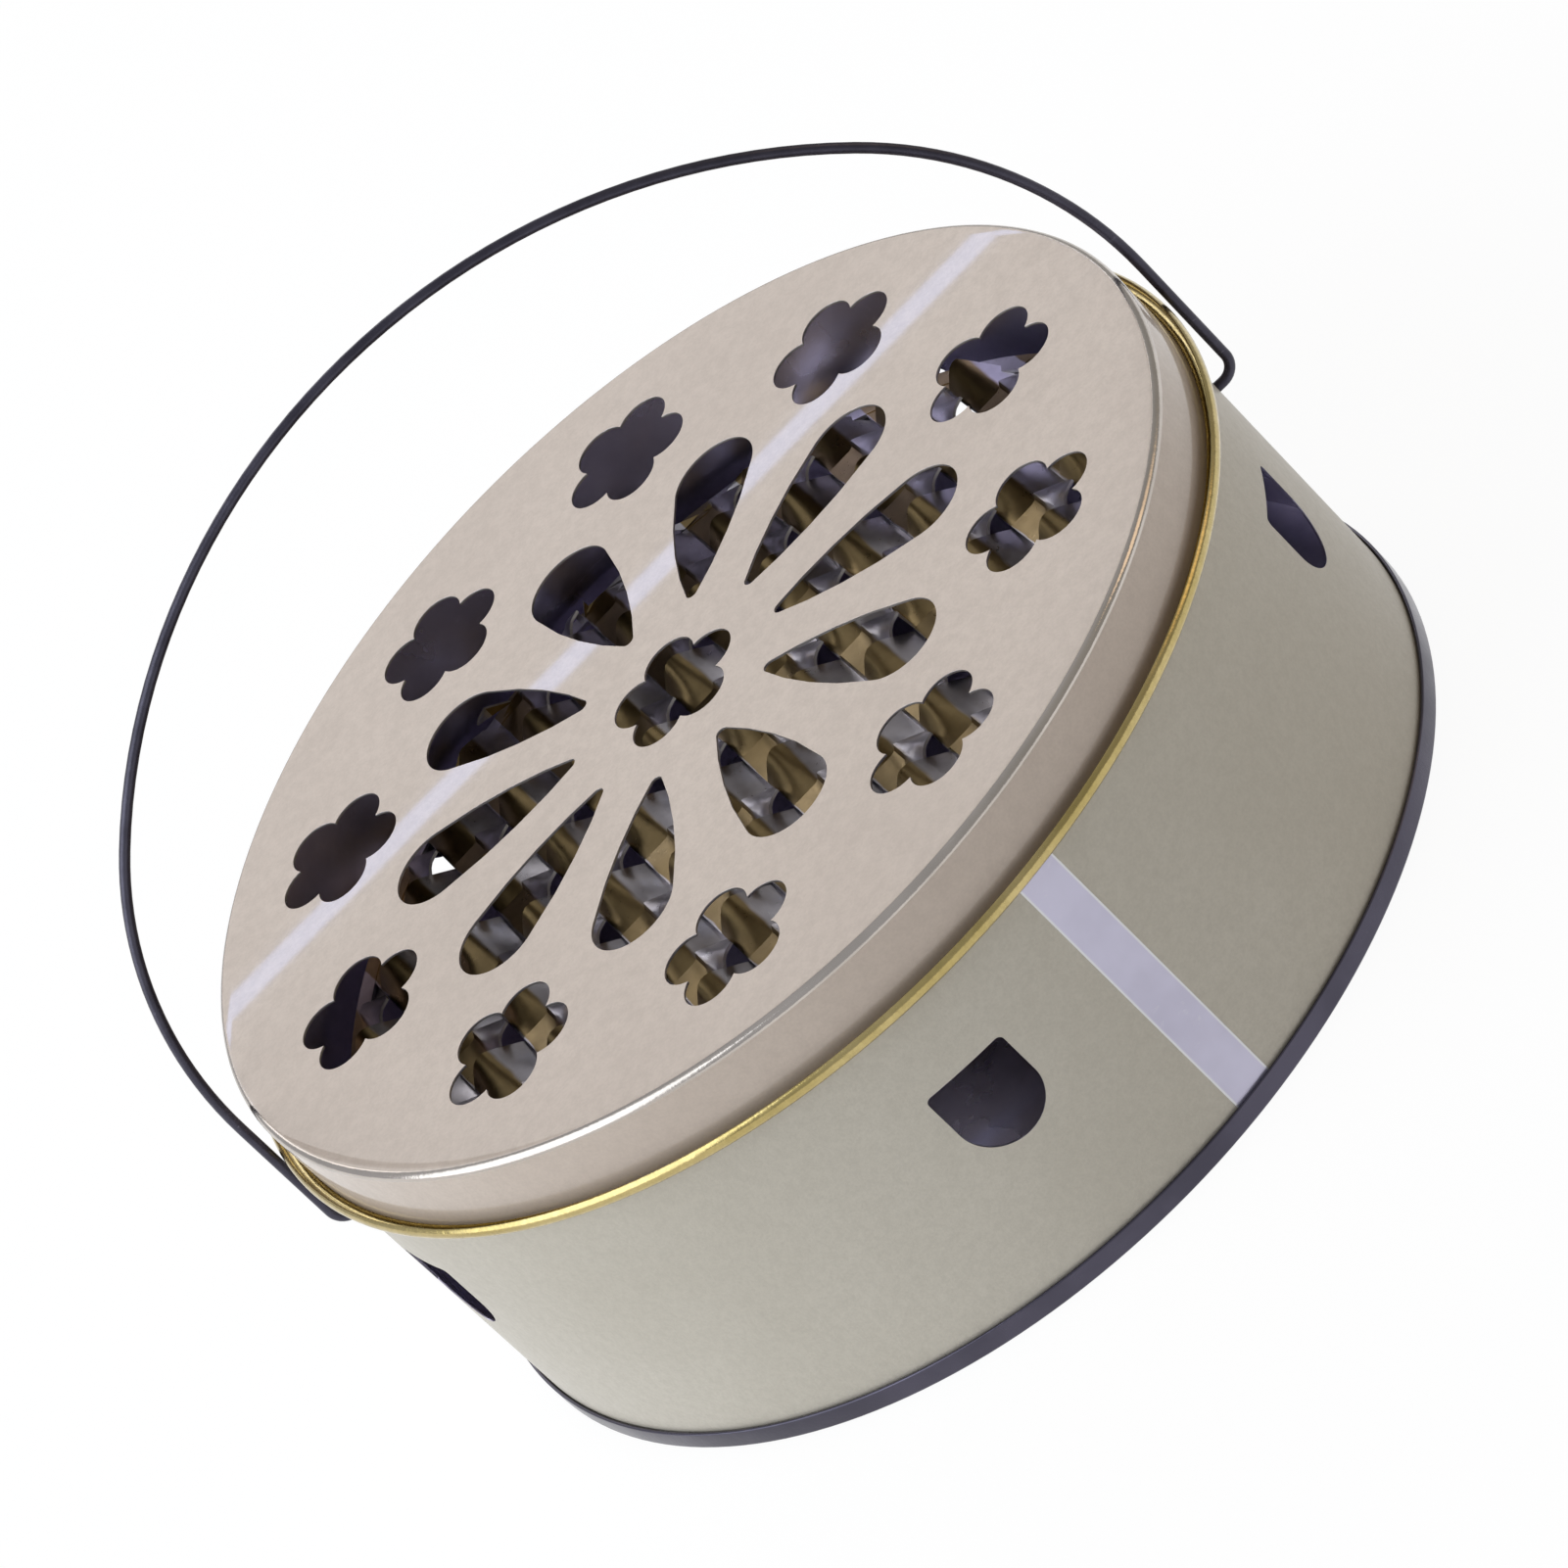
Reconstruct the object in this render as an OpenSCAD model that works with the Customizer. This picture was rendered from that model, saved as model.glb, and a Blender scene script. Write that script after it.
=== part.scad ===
// Round tin incense coil burner with a pierced lid, a wave grid and a wire handle.
// Origin: centre of the base, on the table. +Z is up, X is the handle's pivot axis.

/* [Tin] */
// Outside diameter of the lid skirt
lid_diameter = 145; // [120:1:180]
// Height of the closed tin without its handle
tin_height = 56; // [45:0.5:80]
// Sheet thickness of the lid
lid_sheet = 0.35; // [0.25:0.05:0.6]
// Sheet thickness of the wall and the base
wall_sheet = 0.3; // [0.25:0.05:0.5]
// Gap all round between the wall and the lid skirt
lid_gap = 0.15; // [0.05:0.05:0.5]

/* [Lid] */
// Height of the lid from its top to the bottom of its curled rim
lid_height = 10.62; // [8:0.1:16]
// Outside radius of the shoulder
shoulder_radius = 1.0; // [0.6:0.1:2.5]
// Outside radius of the curled rim
curl_radius = 1.12; // [0.8:0.02:1.6]
// Number of flowers in the ring, and of drops
flower_count = 10; // [6:1:12]
// Radius of the circle of flowers
flower_ring = 54; // [48:0.5:58]
// Radius of one petal's circle
petal_radius = 3.8; // [3:0.1:4.4]
// Distance from a flower's centre to a petal's centre
petal_offset = 5.5; // [4.5:0.1:6]
// Distance from the lid's centre to a drop's inner tip
drop_inner = 15.6; // [13:0.1:20]
// Distance from the lid's centre to the centre of a drop's round end
drop_outer = 37.5; // [33:0.1:40]
// Radius of a drop's round end
drop_radius = 6.15; // [4:0.05:7]
// Turn of the pierced pattern about the tin's axis
pattern_turn = 4; // [0:0.5:36]

/* [Wall] */
// Radius of the curled top edge
edge_radius = 0.8; // [0.6:0.05:1.2]
// Number of air vents
vent_count = 5; // [3:1:8]
// Width of a vent
vent_width = 11.6; // [8:0.1:16]
// Height of a vent
vent_height = 12.4; // [9:0.1:16]
// Height of a vent's flat top above the table
vent_top = 33.6; // [28:0.1:38]
// Direction of the front vent, from the X axis
vent_turn = -92.6; // [-120:0.2:-60]
// Height of the base's seamed rim
rim_height = 2.9; // [2:0.1:5]

/* [Grid] */
// Radius of the wave grid
grid_radius = 68.5; // [60:0.5:69]
// Sheet thickness of the grid
grid_sheet = 0.4; // [0.3:0.05:0.8]
// Depth of one row of waves, front to back
row_depth = 8.62; // [7:0.01:12]
// Length of one whole wave
wave_length = 17.26; // [12:0.02:24]
// Height of the waves above the grid's flat level
wave_height = 3.4; // [2:0.1:5]
// Side shift of the waves from the grid's middle
wave_shift = -0.35; // [-8:0.05:8]
// Shift of the rows from the grid's middle, front to back
row_shift = -5.06; // [-8:0.02:8]
// Turn of the loose grid in the tin
grid_turn = 5.3; // [-180:0.1:180]
// Width of the grid's rim
grid_rim = 2.6; // [1.5:0.1:6]

/* [Handle] */
// Wire diameter
wire_diameter = 1.4; // [1:0.1:2.5]
// Height of the pivots above the table
pivot_height = 33.8; // [30:0.1:40]
// Gap between the wire legs and the lid's curled rim
handle_gap = 0.4; // [0.2:0.05:1]
// Length of the straight legs above the pivots
leg_length = 18.4; // [12:0.1:25]
// Height of the arch above the straight legs
arch_height = 61.8; // [56:0.1:75]
// Bend radius of the arch's two sides
arch_side_radius = 52; // [40:0.5:55]
// Bend radius where a leg turns into its pivot pin
hook_radius = 2.4; // [1.5:0.1:4]
// Radial clearance of the pins in the wall
pin_clearance = 0.06; // [0.02:0.01:0.1]
// Lean of the handle back from upright
handle_lean = 6; // [-90:1:90]

/* [Hidden] */
turn_fn = 48;
lid_r = lid_diameter / 2;
skirt_in = lid_r - lid_sheet;
wall_r = skirt_in - lid_gap;
wall_in = wall_r - wall_sheet;
lid_under = tin_height - lid_sheet;
wall_top = lid_under - 0.05;
curl_x = skirt_in + curl_radius;
curl_z = tin_height - lid_height + curl_radius;
curl_out = curl_x + curl_radius;
rim_floor = 0.45;
rim_out = wall_r + 0.6;
rim_in = wall_in - 0.6;
floor_z = 2.0;
wire_r = wire_diameter / 2;
half_span = curl_out + handle_gap + wire_r;
side_x = half_span - arch_side_radius;
top_radius = (side_x * side_x + arch_height * arch_height - arch_side_radius * arch_side_radius)
    / (2 * (arch_height - arch_side_radius));
top_z = leg_length + arch_height - top_radius;
join_angle = atan2(leg_length - top_z, side_x);
pin_end = wall_in - 1.7;
tip_radius = 0.9;
drop_middle = drop_outer - 9.5;
drop_waist = drop_radius * 0.74;
tab_top = vent_top + wall_sheet;
grid_level = tab_top + grid_sheet + 1.05;
wave_reach = grid_radius - 0.6 * grid_rim;
half_wave = wave_length / 2;
row_count = ceil(grid_radius / row_depth);
half_count = ceil(grid_radius / half_wave) + 1;

// a half wave that arches up, then one that lifts at its end: place along it and height, as
// parts of its length and height
wave_arch = [[0, 0], [0.3, 0.46], [0.985, -0.1]];
wave_lift = [[0, 0], [0.47, 0], [0.985, 0.52]];
wave_marks = [for (k = [-half_count : half_count])
    for (p = k % 2 == 0 ? wave_arch : wave_lift)
        [(k + p[0]) * half_wave, p[1] * wave_height]];
wave_low = [for (i = [len(wave_marks) - 1 : -1 : 0])
    [wave_marks[i][0] + step_side(i), wave_marks[i][1] - grid_sheet]];
wave_outline = concat([for (m = wave_marks) [m[0], m[1]]], wave_low);

// the underside of a step lies a sheet to its inner side
function step_side(i) = let (low = i > 0 && wave_marks[i][0] - wave_marks[i - 1][0] < 0.5,
    high = i + 1 < len(wave_marks) && wave_marks[i + 1][0] - wave_marks[i][0] < 0.5)
    low ? grid_sheet * sign(wave_marks[i][1] - wave_marks[i - 1][1])
    : high ? grid_sheet * sign(wave_marks[i + 1][1] - wave_marks[i][1]) : 0;

// outline of a vent, its flat top along the x axis and its round end at -y
module vent_outline(w, h) {
    r = w / 2;
    c = 0.8;
    translate([0, r - h]) circle(r = r, $fn = 28);
    translate([-r, r - h]) square([w, h - r - c]);
    translate([c - r, -c - 0.01]) square([w - 2 * c, c + 0.01]);
    for (s = [-1, 1]) translate([s * (r - c), -c]) circle(r = c, $fn = 16);
}

// a pipe of sheet in section, cut away between two angles
module curled_edge(r, sheet, a0, a1) {
    difference() {
        circle(r = r, $fn = 16);
        circle(r = r - sheet, $fn = 16);
        polygon([[0, 0], 2 * r * [cos(a0), sin(a0)],
            2 * r * [cos((a0 + a1) / 2), sin((a0 + a1) / 2)], 2 * r * [cos(a1), sin(a1)]]);
    }
}

module body_wall() {
    color([0.69, 0.67, 0.6]) {
        difference() {
            rotate_extrude($fn = turn_fn) {
                translate([wall_in, rim_floor])
                    square([wall_sheet, wall_top - edge_radius - rim_floor]);
                translate([wall_r - edge_radius, wall_top - edge_radius])
                    curled_edge(edge_radius, wall_sheet, 200, 360);
            }
            for (k = [0 : vent_count - 1])
                rotate([0, 0, vent_turn + k * 360 / vent_count])
                    translate([wall_in - 2, 0, vent_top]) rotate([90, 0, 90])
                        linear_extrude(5) vent_outline(vent_width, vent_height);
            for (s = [-1, 1])
                translate([s * wall_r, 0, pivot_height]) rotate([0, 90, 0])
                    cylinder(r = wire_r + pin_clearance, h = 4, center = true, $fn = 24);
        }
        for (k = [0 : vent_count - 1])
            rotate([0, 0, vent_turn + k * 360 / vent_count])
                translate([wall_in + 0.1, 0, vent_top]) rotate([0, 0, -90])
                    linear_extrude(wall_sheet) vent_outline(vent_width - 0.2, vent_height);
    }
}

module base_end() {
    color([0.35, 0.33, 0.4]) rotate_extrude($fn = turn_fn) {
        translate([wall_r + 0.03, 0.4]) square([rim_out - wall_r - 0.03, rim_height - 0.4]);
        translate([rim_in, 0.4]) square([wall_in - 0.03 - rim_in, floor_z]);
        translate([rim_in + 0.4, 0]) square([rim_out - rim_in - 0.8, rim_floor]);
        for (x = [rim_in + 0.4, rim_out - 0.4]) translate([x, 0.4]) intersection() {
            circle(r = 0.4, $fn = 16);
            translate([-0.4, -0.4]) square([0.8, rim_floor]);
        }
        translate([0, floor_z]) square([rim_in + 0.1, wall_sheet]);
    }
}

module flower() {
    cylinder(r = petal_offset, h = 3, $fn = 14);
    for (k = [0 : 4]) rotate([0, 0, k * 72]) translate([petal_offset, 0, 0])
        cylinder(r = petal_radius, h = 3, $fn = 16);
}

// straight sides that run tangent to two circles on the x axis
module tangent_sides(x1, r1, x2, r2) {
    c = (r1 - r2) / (x2 - x1);
    s = sqrt(1 - c * c);
    linear_extrude(3) polygon([[x1 + r1 * c, r1 * s], [x1 + r1 * c, -r1 * s],
        [x2 + r2 * c, -r2 * s], [x2 + r2 * c, r2 * s]]);
}

module drop() {
    translate([drop_inner + tip_radius, 0, 0]) cylinder(r = tip_radius, h = 3, $fn = 14);
    translate([drop_middle, 0, 0]) cylinder(r = drop_waist, h = 3, $fn = 24);
    translate([drop_outer, 0, 0]) cylinder(r = drop_radius, h = 3, $fn = 24);
    tangent_sides(drop_inner + tip_radius, tip_radius, drop_middle, drop_waist);
    tangent_sides(drop_middle, drop_waist, drop_outer, drop_radius);
}

module lid() {
    color([0.78, 0.74, 0.69]) difference() {
        rotate_extrude($fn = turn_fn) {
            translate([0, lid_under]) square([lid_r - shoulder_radius, lid_sheet]);
            translate([lid_r - shoulder_radius, tin_height - shoulder_radius]) difference() {
                intersection() {
                    circle(r = shoulder_radius, $fn = 24);
                    square(shoulder_radius);
                }
                circle(r = shoulder_radius - lid_sheet, $fn = 24);
            }
            translate([skirt_in, curl_z])
                square([lid_sheet, tin_height - shoulder_radius - curl_z]);
            translate([curl_x, curl_z]) curled_edge(curl_radius, lid_sheet, 55, 180);
        }
        translate([0, 0, lid_under - 1]) rotate([0, 0, pattern_turn]) {
            flower();
            for (k = [0 : flower_count - 1]) {
                rotate([0, 0, k * 360 / flower_count]) translate([flower_ring, 0, 0])
                    rotate([0, 0, 180]) flower();
                rotate([0, 0, (k + 0.5) * 360 / flower_count]) drop();
            }
        }
    }
}

// one row of the grid, front edge at y = 0
module wave_row() {
    translate([0, row_depth + 0.05, 0]) rotate([90, 0, 0])
        linear_extrude(row_depth + 0.1) polygon(wave_outline);
}

module coil_grid() {
    color([0.42, 0.36, 0.2]) rotate([0, 0, grid_turn]) {
        intersection() {
            union() for (r = [-row_count : row_count])
                if (abs(row_shift + (r + 0.5) * row_depth) < wave_reach + row_depth / 2 - 2)
                    translate([wave_shift + (abs(r) % 2) * half_wave,
                        row_shift + r * row_depth, grid_level]) wave_row();
            translate([0, 0, tab_top]) cylinder(r = wave_reach, h = 30, $fn = turn_fn);
        }
        rotate_extrude($fn = turn_fn) {
            translate([grid_radius - grid_rim, grid_level - grid_sheet - 0.1])
                square([grid_rim, grid_sheet + 0.2]);
            translate([grid_radius - grid_sheet, tab_top])
                square([grid_sheet, grid_level - tab_top]);
        }
    }
}

module wire_arc(r, a0, a1, steps = 64) {
    rotate([90, 0, 0]) rotate([0, 0, a0])
        rotate_extrude(angle = a1 - a0, $fn = steps) translate([r, 0])
            circle(r = wire_r, $fn = 16);
}

module handle() {
    color([0.24, 0.23, 0.28])
        translate([0, 0, pivot_height]) rotate([-handle_lean, 0, 0]) {
            translate([0, 0, top_z]) wire_arc(top_radius, join_angle, 180 - join_angle);
            for (s = [0, 180]) rotate([0, 0, s]) {
                translate([side_x, 0, leg_length]) {
                    wire_arc(arch_side_radius, 0, join_angle);
                    rotate([0, -join_angle, 0]) translate([arch_side_radius, 0, 0])
                        sphere(r = wire_r + 0.01, $fn = 24);
                }
                translate([half_span, 0, hook_radius])
                    cylinder(r = wire_r, h = leg_length - hook_radius, $fn = 16);
                translate([half_span - hook_radius, 0, hook_radius])
                    wire_arc(hook_radius, -90, 0, 32);
                translate([pin_end, 0, 0]) rotate([0, 90, 0])
                    cylinder(r = wire_r, h = half_span - hook_radius - pin_end, $fn = 16);
            }
        }
}

body_wall();
base_end();
lid();
coil_grid();
handle();
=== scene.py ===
import math

import bpy
from mathutils import Matrix, Vector


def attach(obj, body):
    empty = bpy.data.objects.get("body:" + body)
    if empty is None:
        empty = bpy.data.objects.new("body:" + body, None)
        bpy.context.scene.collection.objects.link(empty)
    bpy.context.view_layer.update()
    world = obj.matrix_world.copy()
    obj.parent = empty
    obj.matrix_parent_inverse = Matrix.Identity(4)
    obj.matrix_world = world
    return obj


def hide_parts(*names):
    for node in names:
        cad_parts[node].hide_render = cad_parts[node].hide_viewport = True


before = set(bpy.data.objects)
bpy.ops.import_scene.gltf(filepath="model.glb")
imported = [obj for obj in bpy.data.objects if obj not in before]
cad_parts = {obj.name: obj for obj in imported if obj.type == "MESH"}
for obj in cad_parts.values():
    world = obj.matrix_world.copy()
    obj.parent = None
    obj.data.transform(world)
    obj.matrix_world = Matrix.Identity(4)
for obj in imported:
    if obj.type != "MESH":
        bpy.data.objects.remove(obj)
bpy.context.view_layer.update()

MM = 0.001

# Sizes in millimetres and turns in degrees. The driving ones are the CAD model's; finer forms,
# such as the rows' heights and the floor's ring, are only here.

# Tin
LID_R = 72.5
TIN_HEIGHT = 56.0
LID_SHEET = 0.35
WALL_SHEET = 0.3
LID_GAP = 0.15

# Lid
LID_HEIGHT = 10.62
SHOULDER_R = 1.0
CURL_R = 1.12
SKIRT_IN = LID_R - LID_SHEET
LID_UNDER = TIN_HEIGHT - LID_SHEET
CURL_X = SKIRT_IN + CURL_R
CURL_Z = TIN_HEIGHT - LID_HEIGHT + CURL_R
PLATE_R = 70.4
SKIRT_BREAK = 50.0
PATTERN_TURN = 4.0
FLOWER_COUNT = 10
FLOWER_RING = 54
PETAL_COUNT = 5
PETAL_R = 3.8
PETAL_OFFSET = 5.5
# Discs that a drop is drawn round: radius and distance from the lid's centre
DROP_DISCS = ((0.9, 16.5), (2.75, 21.2), (4.35, 26.5), (5.45, 31.5), (6.15, 37.5))
PUNCH_REACH = 2

# Wall
WALL_R = SKIRT_IN - LID_GAP
WALL_IN = WALL_R - WALL_SHEET
WALL_FOOT = 0.45
EDGE_R = 0.8
EDGE_Z = LID_UNDER - 0.05 - EDGE_R
VENT_COUNT = 5
VENT_TURN = -92.6
VENT_WIDTH = 11.6
VENT_HEIGHT = 12.4
VENT_TOP = 33.6
VENT_CORNER = 0.8
TAB_ROOM = 0.2
TAB_TUCK = 0.1
# The wall's cutters reach from inside the sheet to outside it
CUT_FROM = 66
CUT_TO = 78

# Side seam
SEAM_ANGLE = -75.15
SEAM_WIDTH = 5.9
SEAM_TOP = 51.5
SEAM_SHEET = 0.06
SEAM_PROUD = 0.05

# Base
RIM_REACH = 0.6
RIM_OUT = WALL_R + RIM_REACH
RIM_IN = WALL_IN - RIM_REACH
RIM_HEIGHT = 2.9
RIM_TUCK = 0.4
FLOOR_R = 44.0
FLOOR_TOP = 2.3
# Pressed ring of the floor: distance from the tin's axis and height above the floor
BEAD = ((49.0, 0.0), (49.6, 0.12), (50.4, 0.5), (51.2, 0.65), (52.0, 0.5), (52.8, 0.12),
    (53.4, 0.0))

# Wave grid
GRID_R = 68.5
GRID_RIM = 2.6
GRID_LEVEL = 35.35
GRID_TURN = 5.3
ROW_SHEET = 0.38
ROW_DEPTH = 8.62
ROWS_INSIDE = 1.6
ROWS_EACH_WAY = 8
HALF_WAVE = 8.63
WAVES_EACH_WAY = 8
WAVE_START = -0.35
ROW_START = -5.06
# Places of a row's cross edges along a half wave; the last lies just short of its end
ROW_MARKS = (0.0, 0.35, 0.8, 1.5, 2.2, 2.9, 3.7, 4.3, 4.75, 5.1, 5.8, 6.4, 7.1, 7.8, 8.62)
ROW_STRIPS = 6
# Heights along a half wave, of a row's front edge and back edge: first where the row arches
# up to an open back edge, then where its right end lifts at the front
ARCH_FRONT = ((0.0, 0.0), (4.5, 0.0), (5.1, -0.3), (8.6, -1.0))
ARCH_BACK = ((0.0, 0.0), (0.7, 0.9), (1.5, 1.9), (2.3, 2.65), (3.1, 2.9), (4.0, 2.75), (4.9, 2.2),
    (5.8, 1.6), (8.6, -0.4))
LIFT_FRONT = ((0.0, 0.0), (3.0, 0.0), (4.5, 0.6), (5.8, 1.6), (6.4, 2.4), (7.2, 3.0), (8.6, 3.4))
LIFT_BACK = ((0.0, 0.0), (4.2, 0.0), (4.8, 1.0), (8.6, -1.0))

# Handle
WIRE_R = 0.7
PIN_ROOM = 0.06
PIN_REACH = 1.7
PIVOT_Z = 33.8
HANDLE_GAP = 0.4
HALF_SPAN = CURL_X + CURL_R + HANDLE_GAP + WIRE_R
LEG = 18.4
ARCH = 61.8
SIDE_R = 52.0
HOOK_R = 2.4
LEAN = 6.0

# Camera
VIEW_TURN = 4.0
VIEW_RISE = 29.91
VIEW_ROLL = -45.74
VIEW_DISTANCE = 981.7
VIEW_RIGHT = 0.8
VIEW_DOWN = 17.2
AIM_HEIGHT = 55.4
LENS = 187.15
SENSOR = 36.0

# Points closer than this are merged, in metres; a row's creases need a finer limit
WELD = 0.000005
ROW_WELD = 0.000002


# Camera

def photo_camera():
    """The camera at the photograph's angle: 30 degrees up, rolled, a long lens."""
    rise = math.radians(VIEW_RISE)
    roll = math.radians(VIEW_ROLL)
    right = Vector((1, 0, 0))
    back = Vector((0, -math.cos(rise), math.sin(rise)))
    up = Vector((0, math.sin(rise), math.cos(rise)))
    centre = Vector((0, 0, AIM_HEIGHT * MM))
    spot = VIEW_DISTANCE * MM * back + VIEW_RIGHT * MM * right - VIEW_DOWN * MM * up
    across = math.cos(roll) * right + math.sin(roll) * up
    upward = -math.sin(roll) * right + math.cos(roll) * up
    m = Matrix((across, upward, back)).transposed().to_4x4()
    m.translation = centre + spot
    cam = bpy.data.cameras.new("photo_camera")
    cam.lens = LENS
    cam.sensor_width = SENSOR
    cam.clip_start = 0.05
    cam.clip_end = 30.0
    ob = bpy.data.objects.new("photo_camera", cam)
    bpy.context.scene.collection.objects.link(ob)
    ob.matrix_world = Matrix.Rotation(math.radians(VIEW_TURN), 4, "Z") @ m
    bpy.context.scene.camera = ob


photo_camera()


# Node groups

def feed(tree, socket, value):
    """Gives a socket a number, a colour of three parts, or another node's output."""
    if isinstance(value, (int, float)):
        socket.default_value = value
    elif isinstance(value, tuple):
        socket.default_value = (*value, 1.0)
    else:
        tree.links.new(value, socket)


def new_group(name, inputs, outputs):
    """An empty node group with its sockets, and its input and output nodes."""
    group = bpy.data.node_groups.new(name, "ShaderNodeTree")
    for label, kind, value in inputs:
        s = group.interface.new_socket(name=label, in_out="INPUT", socket_type=kind)
        if value is not None:
            s.default_value = value
    for label, kind in outputs:
        group.interface.new_socket(name=label, in_out="OUTPUT", socket_type=kind)
    return group, group.nodes.new("NodeGroupInput"), group.nodes.new("NodeGroupOutput")


def noise(tree, vector, scale, detail, rough=0.55):
    """The grey value of a noise pattern."""
    n = tree.nodes.new("ShaderNodeTexNoise")
    n.inputs["Detail"].default_value = detail
    n.inputs["Roughness"].default_value = rough
    feed(tree, n.inputs["Vector"], vector)
    feed(tree, n.inputs["Scale"], scale)
    return n.outputs["Fac"]


def maths(tree, op, a, b=None):
    """A sum, product or the like of one or two values."""
    n = tree.nodes.new("ShaderNodeMath")
    n.operation = op
    feed(tree, n.inputs[0], a)
    if b is not None:
        feed(tree, n.inputs[1], b)
    return n.outputs[0]


def remap(tree, value, low, high, to_low=0.0, to_high=1.0):
    """A soft step from to_low to to_high while the value goes from low to high."""
    n = tree.nodes.new("ShaderNodeMapRange")
    n.interpolation_type = "SMOOTHSTEP"
    for label, v in (("From Min", low), ("From Max", high), ("To Min", to_low), ("To Max", to_high)):
        n.inputs[label].default_value = v
    tree.links.new(value, n.inputs["Value"])
    return n.outputs["Result"]


def mix(tree, fac, a, b):
    """Colour a where fac is 0 and colour b where it is 1."""
    n = tree.nodes.new("ShaderNodeMix")
    n.data_type = "RGBA"
    tree.links.new(fac, n.inputs[0])
    feed(tree, n.inputs[6], a)
    feed(tree, n.inputs[7], b)
    return n.outputs[2]


def build_lacquer_grain():
    """Fine speckle of a rolled lacquer film and the slow waviness of its surface."""
    g, i, o = new_group("Lacquer grain",
        [("Vector", "NodeSocketVector", None), ("Speckle", "NodeSocketFloat", 2600.0),
         ("Peel", "NodeSocketFloat", 700.0)],
        [("Mottle", "NodeSocketFloat"), ("Height", "NodeSocketFloat")])
    fine = noise(g, i.outputs["Vector"], i.outputs["Speckle"], 2.0, 0.6)
    peel = noise(g, i.outputs["Vector"], i.outputs["Peel"], 3.0, 0.5)
    g.links.new(remap(g, maths(g, "ADD", maths(g, "MULTIPLY", fine, 0.55),
        maths(g, "MULTIPLY", peel, 0.45)), 0.3, 0.7), o.inputs["Mottle"])
    g.links.new(maths(g, "ADD", maths(g, "MULTIPLY", fine, 0.35),
        maths(g, "MULTIPLY", peel, 0.65)), o.inputs["Height"])
    return g


def build_tone_drift():
    """Slow drift between two tones, with a little cloud in it."""
    g, i, o = new_group("Tone drift",
        [("Vector", "NodeSocketVector", None), ("Scale", "NodeSocketFloat", 30.0),
         ("Tone A", "NodeSocketColor", None), ("Tone B", "NodeSocketColor", None)],
        [("Color", "NodeSocketColor"), ("Fac", "NodeSocketFloat")])
    fac = remap(g, noise(g, i.outputs["Vector"], i.outputs["Scale"], 4.0, 0.6), 0.32, 0.68)
    g.links.new(mix(g, fac, i.outputs["Tone A"], i.outputs["Tone B"]), o.inputs["Color"])
    g.links.new(fac, o.inputs["Fac"])
    return g


def build_scuffs():
    """Hair-fine rubs, all within a few degrees of one direction."""
    g, i, o = new_group("Scuffs",
        [("Vector", "NodeSocketVector", None), ("Scale", "NodeSocketFloat", 60.0)],
        [("Mask", "NodeSocketFloat")])
    m = g.nodes.new("ShaderNodeMapping")
    m.inputs["Rotation"].default_value = (0.3, 0.2, 0.6)
    m.inputs["Scale"].default_value = (1.0, 22.0, 9.0)
    g.links.new(i.outputs["Vector"], m.inputs["Vector"])
    lines = noise(g, m.outputs["Vector"], i.outputs["Scale"], 4.0, 0.7)
    patches = noise(g, i.outputs["Vector"], 45.0, 2.0)
    g.links.new(maths(g, "MULTIPLY", remap(g, lines, 0.6, 0.72), remap(g, patches, 0.5, 0.7)),
        o.inputs["Mask"])
    return g


LACQUER_GRAIN = build_lacquer_grain()
TONE_DRIFT = build_tone_drift()
SCUFFS = build_scuffs()


class Finish:
    """A material with its Principled shader and Object coordinates at hand."""

    def __init__(self, name, **sockets):
        self.material = bpy.data.materials.new(name)
        self.material.use_nodes = True
        self.tree = self.material.node_tree
        self.shader = self.tree.nodes["Principled BSDF"]
        self.where = self.tree.nodes.new("ShaderNodeTexCoord").outputs["Object"]
        for label, v in sockets.items():
            self.shader.inputs[label.replace("_", " ")].default_value = v

    def place(self, group, **inputs):
        """A node group on the piece's Object coordinates; gives its outputs."""
        n = self.tree.nodes.new("ShaderNodeGroup")
        n.node_tree = group
        for label, v in inputs.items():
            feed(self.tree, n.inputs[label.replace("_", " ")], v)
        self.tree.links.new(self.where, n.inputs["Vector"])
        return n.outputs

    def part(self, mask, share):
        """A mask, weakened to a share of itself."""
        return maths(self.tree, "MULTIPLY", mask, share)

    def colour(self, fac, a, b):
        """Base colour a where fac is 0 and b where it is 1."""
        self.tree.links.new(mix(self.tree, fac, a, b), self.shader.inputs["Base Color"])

    def roughness(self, value, least):
        """Roughness that rises with a value from its least."""
        self.tree.links.new(maths(self.tree, "ADD", value, least), self.shader.inputs["Roughness"])

    def bump(self, height, distance):
        b = self.tree.nodes.new("ShaderNodeBump")
        b.inputs["Distance"].default_value = distance
        self.tree.links.new(height, b.inputs["Height"])
        self.tree.links.new(b.outputs["Normal"], self.shader.inputs["Normal"])


# Materials. Bump distances are in metres.

def champagne_lacquer(name, tone_a, tone_b, peel, peel_depth, gloss):
    """Satin lacquer with a metallic cast, mottled, rubbed a little smoother in places."""
    f = Finish(name, Coat_Weight=gloss, Coat_Roughness=0.025, Metallic=0.3)
    drift = f.place(TONE_DRIFT, Scale=24.0, Tone_A=tone_a, Tone_B=tone_b)
    grain = f.place(LACQUER_GRAIN, Speckle=2600.0, Peel=peel)
    rubs = f.place(SCUFFS, Scale=60.0)
    darker = tuple(0.82 * c for c in tone_b)
    f.colour(f.part(grain["Mottle"], 0.4), drift["Color"], darker)
    f.roughness(maths(f.tree, "SUBTRACT", f.part(grain["Mottle"], 0.1), f.part(rubs["Mask"], 0.06)),
        0.40)
    f.bump(grain["Height"], peel_depth)
    return f.material


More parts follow.
